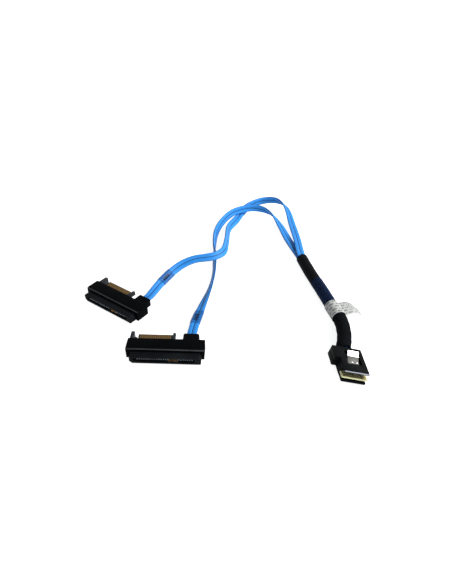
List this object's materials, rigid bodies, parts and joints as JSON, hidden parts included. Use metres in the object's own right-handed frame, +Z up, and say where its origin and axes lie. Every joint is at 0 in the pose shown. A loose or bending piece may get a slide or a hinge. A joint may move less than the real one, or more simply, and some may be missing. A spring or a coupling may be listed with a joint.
{
  "type": "mini sas breakout cable",
  "caption": "Flat-ribbon breakout cable with a latched Mini SAS plug, a sleeved trunk, and SAS drive connectors with power headers.",
  "frame": {"origin": "on the surface the cable lies on, in the middle of the box round its connectors and plug", "axes": "+Z up, +Y towards the far loop of the ribbons, -Y towards the plug's open end, +X towards the plug"},
  "size_m": [0.1795, 0.2116, 0.012],
  "materials": {
    "housing_plastic": "matte moulded",
    "receptacle_plastic": "satin moulded",
    "header_plastic": "satin moulded",
    "board": "solder mask",
    "card": "bare laminate with gilt pads",
    "core_metal": "tinned wire",
    "plug_plastic": "satin moulded",
    "latch_metal": "bright sheet",
    "ribbon": "satin flexible",
    "band_film": "clear film",
    "tape": "cloth tape",
    "mesh": "braided sleeve",
    "shrink": "matte shrink tube",
    "label": "matte label"
  },
  "bodies": {
    "cable": {"drive_1_housing": "housing_plastic", "drive_1_receptacle": "receptacle_plastic", "drive_1_circuit_board": "board", "drive_1_power_header": "header_plastic", "drive_1_core_1": "core_metal", "drive_1_core_2": "core_metal", "drive_1_core_3": "core_metal", "drive_1_core_4": "core_metal", "drive_2_housing": "housing_plastic", "drive_2_receptacle": "receptacle_plastic", "drive_2_circuit_board": "board", "drive_2_power_header": "header_plastic", "drive_2_core_1": "core_metal", "drive_2_core_2": "core_metal", "drive_2_core_3": "core_metal", "drive_2_core_4": "core_metal", "plug_lower_shell": "plug_plastic", "plug_upper_shell": "plug_plastic", "paddle_card": "card", "plug_core_1": "core_metal", "plug_core_2": "core_metal", "plug_core_3": "core_metal", "plug_core_4": "core_metal", "plug_core_5": "core_metal", "plug_core_6": "core_metal", "plug_core_7": "core_metal", "plug_core_8": "core_metal", "ribbon_1": "ribbon", "marker_band_1": "band_film", "ribbon_2": "ribbon", "marker_band_2": "band_film", "tape_wrap": "tape", "mesh_sleeve": "mesh", "heat_shrink": "shrink", "label": "label"},
    "latch": {"latch": "latch_metal"}
  },
  "joints": [
    {"name": "latch_press", "type": "hinge", "parent": "cable", "child": "latch", "pos_m": [0.07909, -0.04383, 0.00724], "axis": [0.9567, 0.0584, -0.285], "range_deg": [-5, 0], "stiffness_Nm_per_rad": 0.02}
  ]
}
